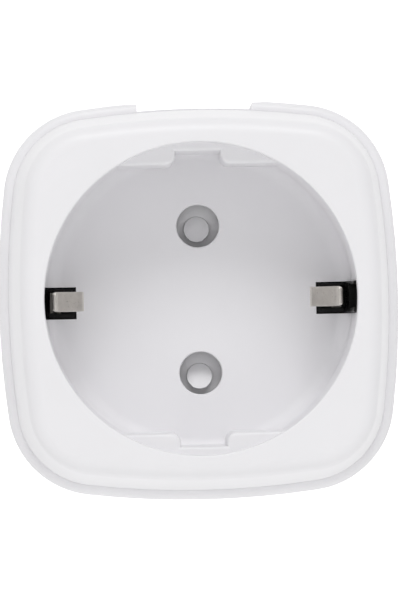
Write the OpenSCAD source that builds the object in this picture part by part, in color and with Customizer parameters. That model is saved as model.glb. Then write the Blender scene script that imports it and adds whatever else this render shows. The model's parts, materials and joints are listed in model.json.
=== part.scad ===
// Smart plug with a recessed earthed socket, a side push button and a two-pin plug body.
// Frame: socket face towards -Y, wall pins towards +Y, +Z up, +X right seen from the socket.
// Origin: midway between the wall pins, on the end face of the plug body.

/* [Body] */
// Full width and height of the rear housing
body_size = 52.1; // [51.6:0.1:53]
// Radius of the gently bowed sides
side_r = 115; // [90:1:160]
// Radius of the rounded corners
corner_r = 11.7; // [11:0.1:13]
// Depth of the housing from socket face to wall face
body_depth = 42; // [42:0.5:46]
// Depth of the front housing, up to the parting line
front_depth = 22; // [21.5:0.1:22.2]
// How far the front housing stands inside the rear one
front_step = 1.3; // [1.1:0.1:1.5]
// How much each side of the front housing leans in towards the socket face
front_draft = 1.8; // [1.4:0.1:2]
// Edge rounding of the socket face
edge_r = 2.1; // [1.8:0.1:2.4]
// Wall thickness of the front housing
wall = 1.8; // [1.6:0.1:2]

/* [Socket] */
// Radius of the recess at the rim
recess_r = 19.8; // [19.6:0.1:20]
// Depth of the recess
recess_depth = 17.5; // [17.3:0.1:17.6]
// Distance between the two pin axes
pin_pitch = 19; // [19:0.1:19.2]
// Radius of the holes in the recess floor
hole_r = 2.75; // [2.6:0.05:2.8]
// Half distance between the guide flats
flat_z = 17; // [16.8:0.1:17.2]
// Width of the key notch in each guide flat
key_w = 5.8; // [5.4:0.1:6.2]
// Depth of the guide flats behind the socket face
flat_drop = 2.5; // [2:0.1:3]
// Half distance between the bulges of the earth clips
clip_bulge = 14.75; // [14.6:0.05:14.9]
// Width of an earth clip
clip_w = 2.5; // [2.2:0.1:2.6]
// How far both earth clips and their slots sit to the right of the middle
clip_shift = -0.4; // [-0.5:0.1:0.5]

/* [Wall plug] */
// Height of the plug body that enters the wall socket
boss_h = 17; // [16.5:0.1:17.5]
// Radius of the plug body
boss_r = 18.6; // [18.4:0.1:18.8]
// Radius of a wall pin
pin_r = 2.4; // [2.35:0.01:2.45]
// Length of a wall pin in front of the plug body
pin_len = 19; // [18.5:0.1:19.5]
// Distance of the earth sleeve from the pin line
sleeve_x = 10; // [9.8:0.1:10.2]

/* [Button] */
// Width of the finger channel on the top side
channel_w = 15; // [14.6:0.1:15.4]
// Depth of the finger channel
channel_drop = 1.12; // [1:0.02:1.3]
// Width of the button across the channel
button_w = 13.4; // [12.8:0.1:13.8]
// Length of the button along the body
button_len = 10; // [9.4:0.1:10.2]
// Height of the button above the channel floor
button_proud = 0.1; // [0.04:0.02:0.2]

/* [Hidden] */
$fn = 64;

white = "white";
black = [0.16, 0.16, 0.17];
nickel = [0.72, 0.70, 0.67];
brass = [0.80, 0.65, 0.35];

half = body_size / 2;
front_y = -(boss_h + body_depth);
pin_z = pin_pitch / 2;
floor_t = 2;                              // thickness of the recess floor
floor_back = recess_depth + floor_t;
side_steps = 3;                           // straight-ish pieces of a half side
corner_steps = 8;                         // pieces of a corner
bow_fn = 720;                             // pieces of a full circle of a bowed side
parting_gap = 0.3;
rear_cavity_in = 2.9;
tongue_in = rear_cavity_in + 0.2;         // outside of the front housing's tongue
front_cavity_in = tongue_in + 0.8;        // its cavity at the parting line
rear_floor = body_depth - 1.8;            // inner face of the rear wall
screw_xz = 17.4;                          // screw axes, off centre both ways
board_front = 37;                         // main board, front face
board_back = 38.5;                        // main board, back face
carrier_front = 22;                       // contact carrier plate
carrier_back = 24;
button_mid = 33.2;                        // depth of the button's middle
switch_mid = 32.4;                        // depth of the switch's middle
pipe_mid = 25.6;                          // depth of the light pipe
cap_top = half - channel_drop + button_proud;
inner_top = half - rear_cavity_in;        // inner face of the rear housing's top wall
radio_z = 16;                             // underside of the radio board
clip_root = [18.3, 23.85];                // earth clip: [distance from centre, depth]
slot_half = 2.07;                         // half height of a clip slot
slot_z = -0.13;                           // middle of a clip slot
insert_x = 21.2;                          // outer face of the carrier's insert in a slot
side_contact_x = 15.85;                   // inner face of a side earth contact

// ---- helpers: depth runs from the socket face towards the wall ----
function at(depth) = front_y + depth;
function turn(p, k) = k == 0 ? p : turn([-p[1], p[0]], k - 1);

// One quarter of the rounded square: half a side, a corner and half a side
function quarter(inset) =
    let (r = side_r - inset, c = corner_r - inset, a = side_r - half, p = side_r - corner_r,
         m = (sqrt(2 * p * p - a * a) - a) / 2, f = atan2(m, m + a))
    concat(
        [for (i = [0 : side_steps - 1]) let (t = f * i / side_steps)
            [r * cos(t) - a, r * sin(t)]],
        [for (i = [0 : corner_steps - 1]) let (t = f + (90 - 2 * f) * i / corner_steps)
            [m + c * cos(t), m + c * sin(t)]],
        [for (i = [0 : side_steps - 1]) let (t = 90 - f + f * i / side_steps)
            [r * cos(t), r * sin(t) - a]]);
function outline(inset) = [for (k = [0 : 3]) for (p = quarter(inset)) turn(p, k)];
function rounding(radius, steps) =
    [for (i = [0 : steps]) let (t = 90 * i / steps) [radius * (1 - cos(t)), radius * (1 - sin(t))]];

// A solid skinned over outlines; each row is [depth, inset]
module lofted(rows) {
    n = len(outline(0));
    last = (len(rows) - 1) * n;
    polyhedron(
        points = [for (q = rows) for (p = outline(q[1])) [p[0], at(q[0]), p[1]]],
        faces = concat(
            [[for (i = [n - 1 : -1 : 0]) i], [for (i = [0 : n - 1]) last + i]],
            [for (j = [0 : len(rows) - 2]) for (i = [0 : n - 1]) let (k = (i + 1) % n)
                [j * n + i, j * n + k, (j + 1) * n + k, (j + 1) * n + i]]));
}

// Extrudes a plan drawn in X and Z between two depths
module slab(d0, d1) {
    translate([0, at(d1), 0]) rotate([90, 0, 0]) linear_extrude(d1 - d0) children();
}

// A round bar along Y between two depths
module rod(x, z, r, d0, d1) {
    slab(d0, d1) translate([x, z]) circle(r);
}

// A box given by its corners in X, depth and Z
module block(x0, x1, d0, d1, z0, z1) {
    translate([x0, at(d0), z0]) cube([x1 - x0, d1 - d0, z1 - z0]);
}

// A plate with rounded corners in plan
module soft_rect(w, h, r) {
    for (s = [-1, 1]) translate([s * (w / 2 - r), 0]) square([2 * r, h - 2 * r], center = true);
    square([w - 2 * r, h], center = true);
    for (x = [-1, 1], z = [-1, 1]) translate([x * (w / 2 - r), z * (h / 2 - r)]) circle(r);
}

module four_corners(off) {
    for (x = [-off, off], z = [-off, off]) translate([x, 0, z]) children();
}

// Outline of a strip of thickness t that follows points p
function unit(v) = v / norm(v);
function side_of(a, b) = let (u = unit(b - a)) [-u[1], u[0]];
function corner_normal(p, i) =
    i == 0 ? side_of(p[0], p[1]) :
    i == len(p) - 1 ? side_of(p[i - 1], p[i]) :
    let (a = side_of(p[i - 1], p[i]), b = side_of(p[i], p[i + 1])) (a + b) / (1 + a * b);
function strip(p, t) = concat(
    [for (i = [0 : len(p) - 1]) p[i] + corner_normal(p, i) * t / 2],
    [for (i = [len(p) - 1 : -1 : 0]) p[i] - corner_normal(p, i) * t / 2]);
// A bent strip: points are [x, depth], the width runs along Z
module bent_strip(p, t, w) {
    translate([0, front_y, -w / 2]) linear_extrude(w) polygon(strip(p, t));
}

// A round wire swept along points
module wire(p, r, sides, up) {
    n = len(p);
    last = (n - 1) * sides;
    ring = [for (i = [0 : n - 1])
        let (t = unit(p[min(i + 1, n - 1)] - p[max(i - 1, 0)]), u = unit(cross(t, up)), v = cross(t, u))
        for (k = [0 : sides - 1]) let (a = 360 * k / sides) p[i] + r * (cos(a) * u + sin(a) * v)];
    polyhedron(
        points = ring,
        faces = concat(
            [[for (k = [0 : sides - 1]) k], [for (k = [sides - 1 : -1 : 0]) last + k]],
            [for (i = [0 : n - 2]) for (k = [0 : sides - 1]) let (m = (k + 1) % sides)
                [i * sides + m, i * sides + k, (i + 1) * sides + k, (i + 1) * sides + m]]));
}

// ---- housings ----
module recess_space() {
    fillet = 2;
    corner = recess_r - fillet;
    difference() {
        translate([0, front_y, 0]) rotate([-90, 0, 0]) rotate_extrude() union() {
            translate([0, -1]) square([recess_r, recess_depth - fillet + 1]);
            square([corner, recess_depth]);
            translate([corner, recess_depth - fillet]) circle(fillet);
        }
        for (s = [0, 1]) mirror([0, 0, s]) guide_flat();
    }
}

// Guide flat with its key notch; the corners towards the notch are rounded
module guide_flat() {
    soft = 1.2;
    outer = recess_r + 1;
    notch_top = 18.7;
    slab(flat_drop, recess_depth + 0.5) {
        for (s = [0, 1]) mirror([s, 0]) {
            translate([key_w / 2 + soft, flat_z]) square([outer, outer - flat_z]);
            translate([key_w / 2, flat_z + soft]) square([outer, outer - flat_z - soft]);
            translate([key_w / 2 + soft, flat_z + soft]) circle(soft);
        }
        translate([-key_w, notch_top]) square([2 * key_w, outer - notch_top]);
    }
}

// Puts a clip-side shape on both sides, moved with the clips
module both_clips() {
    translate([clip_shift, 0, 0]) for (s = [0, 1]) mirror([s, 0, 0]) children();
}

module clip_slots() {
    low = slot_z - slot_half;
    high = slot_z + slot_half;
    both_clips() {
        block(15.5, insert_x + 0.15, recess_depth - 0.5, floor_back + 0.1, low, high);
        block(recess_r - 1, insert_x + 0.15, 2.6, floor_back + 0.1, low, high);
    }
}

module front_housing() {
    cup_r = 21.5;
    face_t = 1.9;
    face_in = front_step + front_draft;
    color(white) difference() {
        union() {
            difference() {
                lofted(concat([for (q = rounding(edge_r, 5)) [q[0], q[1] + face_in]],
                    [[front_depth, front_step]]));
                lofted([[face_t, face_in + wall], [front_depth, front_cavity_in],
                    [front_depth + 1, front_cavity_in]]);
            }
            rod(0, 0, cup_r, 1, floor_back);
            four_corners(screw_xz) rod(0, 0, 2.6, 1, front_depth);
            difference() {
                slab(front_depth - 1, front_depth + 1.8) polygon(outline(tongue_in));
                slab(front_depth - 2, front_depth + 2) polygon(outline(front_cavity_in));
            }
        }
        recess_space();
        for (z = [-pin_z, pin_z]) rod(0, z, hole_r, recess_depth - 0.5, floor_back + 0.5);
        clip_slots();
        four_corners(screw_xz) rod(0, 0, 0.95, 7, front_depth + 1);
    }
}

module boss_plan() {
    rib = 5;
    intersection() {
        circle(boss_r);
        union() {
            square([2 * boss_r, 33], center = true);
            square([rib, 36.6], center = true);
        }
    }
}

module rear_housing() {
    lip = 1;
    back_r = 2.5;
    lip_rows = [for (q = rounding(lip, 3)) [front_depth + parting_gap + q[0], q[1]]];
    back_rows = [for (q = rounding(back_r, 4)) [body_depth - q[0], q[1] + 0.2]];
    color(white) difference() {
        union() {
            difference() {
                lofted(concat(lip_rows, [for (i = [4 : -1 : 0]) back_rows[i]]));
                slab(front_depth - 1, rear_floor) polygon(outline(rear_cavity_in));
            }
            slab(rear_floor, body_depth + boss_h) boss_plan();
            four_corners(screw_xz) rod(0, 0, 2.9, front_depth + 2.3, body_depth - 1);
        }
        boss_room();
        for (z = [-pin_z, pin_z]) rod(0, z, pin_r + 0.02, 50, body_depth + boss_h + 1);
        rod(sleeve_x, 0, 3.42, 50, body_depth + boss_h + 1);
        for (s = [0, 1]) mirror([s, 0, 0]) {
            block(15.8, boss_r + 1, 43.6, body_depth + boss_h + 1, -3.2, 3.2);
            block(13.5, 16.5, 44.5, 45.3, -2.5, 2.5);
        }
        four_corners(screw_xz) {
            rod(0, 0, 1.2, front_depth, body_depth + 1);
            rod(0, 0, 2.3, body_depth - 1.7, body_depth + 1);
        }
        finger_channel();
        slab_z(inner_top - 1, half + 1) translate([0, at(button_mid)])
            soft_rect(button_w + 0.3, button_len + 0.3, 1.3);
        translate([0, at(pipe_mid), inner_top - 1]) cylinder(h = 4, r = 1.25);
    }
}

// Hollow of the plug body, with sleeves left standing round the pins
module boss_room() {
    difference() {
        slab(rear_floor - 1, body_depth + boss_h - 2.5) intersection() {
            circle(16.4);
            square([28.4, 29.2], center = true);
        }
        for (z = [-pin_z, pin_z]) rod(0, z, 3.6, 54, body_depth + boss_h);
        rod(sleeve_x, 0, 4.2, 52, body_depth + boss_h);
    }
}

// Extrudes a plan drawn in X and Y between two heights
module slab_z(z0, z1) {
    translate([0, 0, z0]) linear_extrude(z1 - z0) children();
}

// Channel for the finger: bowed floor, upright sides and softened shoulders
module finger_channel() {
    side = channel_w / 2;
    shoulder = 2.2;
    difference() {
        block(-side, side, front_depth, body_depth + 1, half - 4, half + 1);
        rod(0, half - side_r, side_r - channel_drop, front_depth - 1, body_depth + 2, $fn = bow_fn);
    }
    slab(front_depth, body_depth + 1) polygon([[-side - shoulder, half - 0.41], [-side, half - 0.46],
        [side, half - 0.46], [side + shoulder, half - 0.41], [side + shoulder, half + 1],
        [-side - shoulder, half + 1]]);
}

// ---- button and light ----
module button() {
    skirt = 1.2;
    flange = 0.8;
    color(white) {
        difference() {
            intersection() {
                slab_z(inner_top - 0.9, half) translate([0, at(button_mid)])
                    soft_rect(button_w, button_len, 1.15);
                rod(0, cap_top - side_r, side_r, 20, 44, $fn = bow_fn);
            }
            slab_z(inner_top - 1, inner_top + 0.6) translate([0, at(button_mid)])
                soft_rect(button_w - 2 * skirt, button_len - 2 * skirt, 0.6);
        }
        translate([0, at(switch_mid), inner_top - 1.15]) cylinder(h = 2, r = 1.4);
        slab_z(inner_top - 0.9, inner_top - 0.3) translate([0, at(button_mid)]) difference() {
            soft_rect(button_w + 2 * flange, button_len + 2 * flange, 1.2);
            soft_rect(button_w - 2 * skirt, button_len - 2 * skirt, 0.6);
        }
    }
}

module light_pipe() {
    top = half - channel_drop;
    color([0.9, 0.95, 1]) translate([0, at(pipe_mid), 0]) {
        translate([0, 0, inner_top - 1.2]) cylinder(h = top - inner_top + 1.2, r = 1.2);
        translate([0, 0, inner_top - 0.9]) cylinder(h = 0.8, r = 1.7);
        translate([0, 0, 18.6]) cylinder(h = inner_top - 19, r = 1);
    }
}

module tact_switch() {
    color([0.3, 0.3, 0.32]) difference() {
        slab_z(radio_z + 1, radio_z + 4.4) translate([0, at(switch_mid)]) soft_rect(6, 6, 0.6);
        translate([0, at(switch_mid), radio_z + 3]) cylinder(h = 2, r = 1.75);
    }
}

module tact_plunger() {
    top = inner_top - 1.2;
    color(black) translate([0, at(switch_mid), radio_z + 3.6]) cylinder(h = top - radio_z - 3.6, r = 1.7);
}

module status_led() {
    color([0.95, 0.95, 0.85]) translate([0, at(pipe_mid), radio_z + 1]) {
        translate([-0.8, -0.5, 0]) cube([1.6, 1, 0.5]);
        translate([-0.6, -0.4, 0.4]) cube([1.2, 0.8, 0.35]);
    }
}

// ---- socket side metal and insulators ----
module contact_carrier() {
    post_r = 1.5;
    pass_r = 3.4;                         // holes that let the pins through
    groove = 1.5;
    low = slot_z - slot_half + 0.1;
    high = slot_z + slot_half - 0.1;
    color(black) {
        difference() {
            union() {
                rod(0, 0, 20.6, carrier_front, carrier_back);
                both_clips() block(15.6, insert_x, recess_depth + 0.3, carrier_back, low, high);
            }
            for (z = [-pin_z, pin_z]) rod(0, z, pass_r, carrier_front - 1, carrier_back + 1);
            both_clips() block(15.9, 19.1, recess_depth - 1, carrier_back + 1, -groove, groove);
        }
        both_clips() difference() {
            translate([0, 0, low]) linear_extrude(high - low) polygon([for (p = [[insert_x, 2.9],
                [19.75, 2.9], [19.75, 14.6], [19.05, 17.7], [19.15, recess_depth + 0.4],
                [insert_x, recess_depth + 0.4]]) [p[0], at(p[1])]]);
            block(19, 20.6, 2, 15, -groove, groove);
        }
        rod(0, 0, post_r, floor_back + 0.3, carrier_front + 0.5);
    }
}

module shutter() {
    front = floor_back + 0.25;
    back = carrier_front - 0.3;
    bar = 3.2;
    reach = 12.9;
    hub_r = 4.4;
    pad_r = 1.68;
    color([0.86, 0.86, 0.87]) difference() {
        union() {
            slab(back - 0.8, back) intersection() {
                circle(reach);
                square([2 * bar, 2 * reach + 1], center = true);
            }
            rod(0, 0, hub_r, front, back);
            for (z = [-pin_z, pin_z]) rod(-0.15, z - 0.37, pad_r, front, back);
        }
        rod(0, 0, 1.56, front - 1, back + 1);
    }
}

// Torsion spring coiled round the shutter's pivot, behind the carrier plate
module shutter_spring() {
    coil_r = 3.1;
    wire_r = 0.28;
    turns = 3;
    steps = 22 * turns;
    rise = 0.8;
    first = carrier_back + 1.6;
    coil = [for (i = [0 : steps]) let (t = 360 * turns * i / steps)
        [coil_r * cos(t), at(first + rise * turns * i / steps), coil_r * sin(t)]];
    color(nickel) wire(coil, wire_r, 6, [0, 1, 0]);
}

module earth_strap() {
    front = carrier_back + 0.15;
    back = front + 0.7;
    color(nickel) difference() {
        slab(front, back) {
            square([39, 3.8], center = true);
            circle(4.4);
        }
        for (x = [-7, 7]) rod(x, 0, 0.9, front - 1, back + 1);
    }
}

// Leaf of an earth clip: rises from the strap, leans in to a bulge, opens out again and turns
// down at its free end, whose corners are rounded
module earth_clip() {
    thick = 0.6;
    bulge_d = 9.6;
    crease = [17.95, 5.3];
    free = [18.45, 4.3];
    soft = 0.6;
    bend = [for (i = [0 : 4]) let (t = -38 + 19 * i) [clip_bulge + 1 - cos(t), bulge_d - sin(t)]];
    rising = [clip_root, [18.2, 18], [17.8, 16.6]];
    color(nickel) {
        bent_strip(concat(rising, bend), thick, clip_w);
        intersection() {
            bent_strip([bend[3], bend[4], crease, free], thick, clip_w);
            slab(free[1] - 1, bulge_d + 1) translate([clip_bulge - 1, 0]) {
                reach = free[0] + 0.27 - clip_bulge + 1;
                translate([reach / 2, 0]) soft_rect(reach, clip_w, soft);
                translate([reach / 4, 0]) square([reach / 2, clip_w], center = true);
            }
        }
    }
}
module earth_clip_right() { translate([clip_shift, 0, 0]) earth_clip(); }
module earth_clip_left() { translate([clip_shift, 0, 0]) mirror([1, 0, 0]) earth_clip(); }

// Two-leaf contact that grips an entering pin
module pin_contact(z) {
    mouth = carrier_back + 0.6;
    foot = 35.4;
    leaf_w = 6;
    thick = 0.6;
    leaf = [[2.8, foot], [2.95, 32], [2.9, mouth + 4], [2.75, mouth + 2.4], [3.3, mouth]];
    color(brass) translate([0, 0, z]) {
        for (s = [0, 1]) mirror([s, 0, 0]) bent_strip(leaf, thick, leaf_w);
        block(-3.05, 3.05, foot - 0.3, foot + 0.4, -leaf_w / 2, leaf_w / 2);
        block(-0.6, 0.6, foot + 0.2, board_front, -0.4, 0.4);
    }
}
module live_contact() { pin_contact(pin_z); }
module neutral_contact() { pin_contact(-pin_z); }

// ---- wall side metal ----
module wall_pin(z) {
    collar_r = 3.3;
    tip = 1.5;
    start = 50.4;
    reach = body_depth + boss_h + pin_len;
    color(nickel) difference() {
        translate([0, front_y, z]) rotate([-90, 0, 0]) rotate_extrude() union() {
            translate([0, start]) square([pin_r, reach - tip - start]);
            translate([0, reach - tip - 1]) square([pin_r - tip, tip + 1]);
            intersection() {
                translate([pin_r - tip, reach - tip]) circle(tip);
                translate([0, start]) square([2 * pin_r, 2 * reach]);
            }
            translate([0, 52.4]) square([collar_r, 1.5]);
        }
        block(1.2, 3, start - 1, start + 1.6, z - 3, z + 3);
    }
}
module live_pin() { wall_pin(pin_z); }
module neutral_pin() { wall_pin(-pin_z); }

module pin_link(z) {
    color(brass) translate([0, 0, z]) {
        block(1.22, 2.02, board_back, 51.9, -1.8, 1.8);
        block(1.22, 5, board_back, board_back + 0.8, -1.8, 1.8);
    }
}
module live_link() { pin_link(pin_z); }
module neutral_link() { pin_link(-pin_z); }

module side_earth() {
    thick = 0.6;
    mid = side_contact_x + thick / 2;
    tip = body_depth + boss_h - 1;
    color(nickel) bent_strip([[13.9, 44.9], [mid, 44.9], [mid, tip - 6], [mid + 0.5, tip - 3.5],
        [mid, tip]], thick, 4.8);
}
module side_earth_right() { side_earth(); }
module side_earth_left() { mirror([1, 0, 0]) side_earth(); }

module earth_sleeve() {
    bore_r = 2.5;
    color(nickel) difference() {
        rod(sleeve_x, 0, 3.4, 43.4, body_depth + boss_h);
        rod(sleeve_x, 0, bore_r, 44.4, body_depth + boss_h + 1);
    }
}

// Joins the strap, the sleeve and both side contacts
module earth_bridge() {
    bar = 1.8;
    flag = 0.4;
    reach = 13.85;
    color(nickel) {
        block(-reach, reach, 42.4, 43.2, -bar, bar);
        for (x = [-reach, reach - flag]) block(x, x + flag, 42.4, 45.2, -bar, bar);
        block(4.6, 5.4, carrier_back + 0.85, 42.6, -bar, bar);
    }
}

// ---- boards ----
// Leads that pass through the main board, as [x, z]
lead_r = 0.35;
header_leads = [for (i = [0 : 4]) [-5 + 2.5 * i, radio_z - 1]];
film_leads = [[-17.6, -6.5], [-17.6, 3.5]];
bulk_at = [-9.4, 6.6];
filter_at = [-9.4, -6];
can_pitch = 1.25;
can_leads = [for (p = [bulk_at, filter_at], s = [-1, 1]) p + [s * can_pitch, 0]];
varistor_leads = [[-12, 7.7], [-8, 7.7]];
fuse_leads = [[-17.4, -12.2], [-10.6, -12.2]];

module main_board() {
    corner_clear = 3.5;
    lead_hole = 0.5;
    color([0.10, 0.35, 0.18]) difference() {
        slab(board_front, board_back) soft_rect(42.6, 42.6, 1.5);
        four_corners(screw_xz) rod(0, 0, corner_clear, 36, 40);
        for (x = [-1, 1], z = [-1, 1]) block(x * 20 - 3, x * 20 + 3, 36, 40, z * 20 - 3, z * 20 + 3);
        block(4.3, 5.7, 36, 40, -2.1, 2.1);
        for (p = concat(header_leads, film_leads, can_leads, varistor_leads, fuse_leads))
            rod(p[0], p[1], lead_hole, 36, 40);
    }
}

module radio_board() {
    color([0.10, 0.35, 0.18]) difference() {
        slab_z(radio_z, radio_z + 1) translate([0, at(30.6)]) soft_rect(20, 12.2, 0.8);
        for (x = [-8.4, 8.4]) translate([x, at(26.4), radio_z - 1]) cylinder(h = 3, r = 0.7);
    }
}

module radio_shield() {
    color(nickel) difference() {
        slab_z(radio_z - 1.7, radio_z - 0.02) translate([-1, at(30.2)]) soft_rect(12, 9, 0.6);
        slab_z(radio_z - 1.5, radio_z) translate([-1, at(30.2)]) soft_rect(11.6, 8.6, 0.4);
    }
}

module board_header() {
    color(black) block(-6, 6, 35.2, board_front, radio_z - 2, radio_z - 0.05);
    color(brass) for (p = header_leads)
        block(p[0] - 0.3, p[0] + 0.3, board_front - 0.5, board_back + 1, p[1] - 0.3, p[1] + 0.3);
}

// ---- relay ----
relay_x0 = 8;
relay_x1 = 18.6;
relay_z = 10;
relay_front = 25.4;
relay_seat = 35.4;
relay_point = [10, 27.3];                 // [X, depth] of the switching contact

module relay_base() {
    color([0.2, 0.2, 0.22]) difference() {
        block(relay_x0, relay_x1, relay_seat, board_front - 0.05, -relay_z, relay_z);
        block(relay_x0 + 2, relay_x1 - 2, relay_seat - 1, relay_seat + 0.6, -8, 3);
    }
}

module relay_cover() {
    skin = 0.6;
    color([0.15, 0.35, 0.62]) difference() {
        block(relay_x0, relay_x1, relay_front, relay_seat, -relay_z, relay_z);
        block(relay_x0 + skin, relay_x1 - skin, relay_front + skin, relay_seat + 1,
            -relay_z + skin, relay_z - skin);
    }
}

module relay_coil() {
    axis_x = 12.7;
    axis_d = 31.8;
    color([0.72, 0.36, 0.16]) translate([axis_x, at(axis_d), 0]) {
        translate([0, 0, -7.6]) cylinder(h = 11.4, r = 2.6);
        for (z = [-8, 3.6]) translate([0, 0, z]) cylinder(h = 0.6, r = 3.1);
        translate([0, 0, -8]) cylinder(h = 12.6, r = 1);
    }
}

module relay_yoke() {
    color([0.6, 0.6, 0.62]) {
        block(16.4, 17.2, 28.9, 34.7, -9, 5.2);
        block(10.6, 17.2, 28.9, 34.7, -9, -8.05);
    }
}

module relay_armature() {
    color([0.6, 0.6, 0.62]) block(9.5, 17.2, 28.9, 34.5, 5.3, 6.1);
}

module relay_leaf() {
    color(brass) {
        block(9.3, 14, 26.5, 32.4, 6.1, 6.35);
        translate([relay_point[0], at(relay_point[1]), 5.65]) cylinder(h = 0.6, r = 0.75);
    }
}

module relay_contacts() {
    color(brass) {
        block(8.75, 9.25, 26.4, relay_seat, 3.9, 4.7);
        block(8.75, 11, 26.4, 28.2, 4.3, 4.7);
        translate([relay_point[0], at(relay_point[1]), 4.6]) cylinder(h = 0.6, r = 0.75);
    }
}

// ---- power parts ----
module film_capacitor() {
    color([0.85, 0.72, 0.2]) {
        slab(26.2, 36.4) translate([-17.6, -1.5]) soft_rect(5.2, 13, 0.5);
        for (p = film_leads) rod(p[0], p[1], lead_r, 36, board_back + 0.8);
    }
}

module can_capacitor(at_xz, r, length) {
    x = at_xz[0];
    z = at_xz[1];
    difference() {
        rod(x, z, r, board_back + 0.4, board_back + 0.4 + length);
        translate([x, at(board_back + 2), z]) rotate([-90, 0, 0]) rotate_extrude()
            translate([r + 0.15, 0]) circle(0.4);
        for (a = [0, 90]) translate([x, at(board_back + 0.4 + length), z]) rotate([0, a, 0])
            cube([r, 0.4, 0.25], center = true);
    }
    for (s = [-1, 1]) rod(x + s * can_pitch, z, 0.3, board_front - 0.15, board_back + 0.8);
}
module bulk_capacitor() { color([0.12, 0.14, 0.22]) can_capacitor(bulk_at, 4, 11.5); }
module filter_capacitor() { color([0.12, 0.14, 0.22]) can_capacitor(filter_at, 3.15, 11); }

coil_at = [-9.6, -4.6];                   // inductor axis
module inductor_core() {
    color([0.25, 0.24, 0.24]) translate([coil_at[0], 0, coil_at[1]]) {
        rod(0, 0, 1.8, 27.2, 36.8);
        for (d = [27.2, 35.3]) rod(0, 0, 3.7, d, d + 1.5);
    }
}
module inductor_winding() {
    color([0.72, 0.36, 0.16]) translate([coil_at[0], 0, coil_at[1]]) difference() {
        rod(0, 0, 3.2, 28.75, 35.25);
        rod(0, 0, 1.85, 28, 36);
    }
}

module varistor() {
    color([0.10, 0.30, 0.60]) {
        translate([-10, at(31.6), 6.2]) cylinder(h = 3, r = 4.2);
        for (p = varistor_leads) rod(p[0], p[1], lead_r, 34, board_back + 0.3);
    }
}

module fuse() {
    color([0.75, 0.72, 0.62]) translate([-18, at(34.4), fuse_leads[0][1]]) rotate([0, 90, 0]) {
        cylinder(h = 8, r = 1.7);
        for (h = [0, 6.2]) translate([0, 0, h]) cylinder(h = 1.8, r = 2);
    }
    color(nickel) for (p = fuse_leads) rod(p[0], p[1], lead_r, 35.5, board_back + 0.8);
}

module shunt_resistor() {
    legs = [[-3.4, board_front], [-3.4, 34.6], [3.4, 34.6], [3.4, board_front]];
    color([0.5, 0.45, 0.42]) translate([0, 0, -15.4]) bent_strip(legs, 0.5, 2.4);
}

module chip(x, z, w, h, t, legs) {
    color(black) slab(board_front - 0.2 - t, board_front - 0.2) translate([x, z]) soft_rect(w, h, 0.2);
    color(nickel) for (i = [0 : legs - 1], s = [-1, 1])
        block(x - w / 2 + w * (i + 0.5) / legs - 0.2, x - w / 2 + w * (i + 0.5) / legs + 0.2,
            board_front - 0.5, board_front, z + s * (h / 2 + 0.3) - 0.4, z + s * (h / 2 + 0.3) + 0.4);
}
module rectifier() { chip(-8.6, -18, 5, 3.6, 1.6, 2); }
module metering_chip() { chip(8.6, -17, 6, 3.9, 1.5, 8); }
module regulator_chip() { chip(0, -18.6, 4.8, 2.6, 1.4, 4); }

module smd_parts() {
    places = [[-14.5, 13], [-11, 13], [11, 13], [14.5, 13], [-4.5, 18], [5, 18], [13, -13], [9.5, -13]];
    color([0.35, 0.3, 0.25]) for (p = places)
        block(p[0] - 0.8, p[0] + 0.8, board_front - 0.6, board_front, p[1] - 0.4, p[1] + 0.4);
}

module housing_screws() {
    color([0.5, 0.5, 0.52]) four_corners(screw_xz) difference() {
        union() {
            rod(0, 0, 0.9, 11, body_depth - 1);
            rod(0, 0, 2.1, body_depth - 1.65, body_depth - 0.4);
        }
        for (a = [0, 90]) translate([0, at(body_depth - 0.5), 0]) rotate([0, a, 0])
            cube([2.4, 1.2, 0.5], center = true);
    }
}

front_housing();
rear_housing();
button();
light_pipe();
contact_carrier();
shutter();
shutter_spring();
earth_strap();
earth_clip_left();
earth_clip_right();
live_contact();
neutral_contact();
live_pin();
neutral_pin();
live_link();
neutral_link();
side_earth_left();
side_earth_right();
earth_sleeve();
earth_bridge();
main_board();
radio_board();
radio_shield();
board_header();
tact_switch();
tact_plunger();
status_led();
relay_base();
relay_cover();
relay_coil();
relay_yoke();
relay_armature();
relay_leaf();
relay_contacts();
film_capacitor();
bulk_capacitor();
filter_capacitor();
inductor_core();
inductor_winding();
varistor();
fuse();
shunt_resistor();
rectifier();
metering_chip();
regulator_chip();
smd_parts();
housing_screws();
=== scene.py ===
import json
import math

import bmesh
import bpy
from mathutils import Matrix, Vector

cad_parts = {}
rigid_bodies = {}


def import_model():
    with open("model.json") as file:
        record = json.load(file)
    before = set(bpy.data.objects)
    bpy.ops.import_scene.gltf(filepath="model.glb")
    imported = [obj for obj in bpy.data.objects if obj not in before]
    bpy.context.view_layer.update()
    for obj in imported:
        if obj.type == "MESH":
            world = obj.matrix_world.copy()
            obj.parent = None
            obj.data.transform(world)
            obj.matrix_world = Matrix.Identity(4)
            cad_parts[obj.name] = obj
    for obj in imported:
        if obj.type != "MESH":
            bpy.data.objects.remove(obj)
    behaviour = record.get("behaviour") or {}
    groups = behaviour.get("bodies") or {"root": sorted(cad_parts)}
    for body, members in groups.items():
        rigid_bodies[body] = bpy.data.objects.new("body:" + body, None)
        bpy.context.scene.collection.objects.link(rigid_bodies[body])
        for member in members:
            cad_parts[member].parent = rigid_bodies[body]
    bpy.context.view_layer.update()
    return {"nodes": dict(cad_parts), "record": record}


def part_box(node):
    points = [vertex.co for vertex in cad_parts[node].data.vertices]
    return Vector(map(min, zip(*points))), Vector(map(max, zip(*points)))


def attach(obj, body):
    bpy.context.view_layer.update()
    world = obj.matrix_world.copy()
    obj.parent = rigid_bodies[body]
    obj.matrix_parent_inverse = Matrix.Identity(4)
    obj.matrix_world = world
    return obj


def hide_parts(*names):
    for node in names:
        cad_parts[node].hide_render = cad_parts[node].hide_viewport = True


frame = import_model()

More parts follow.
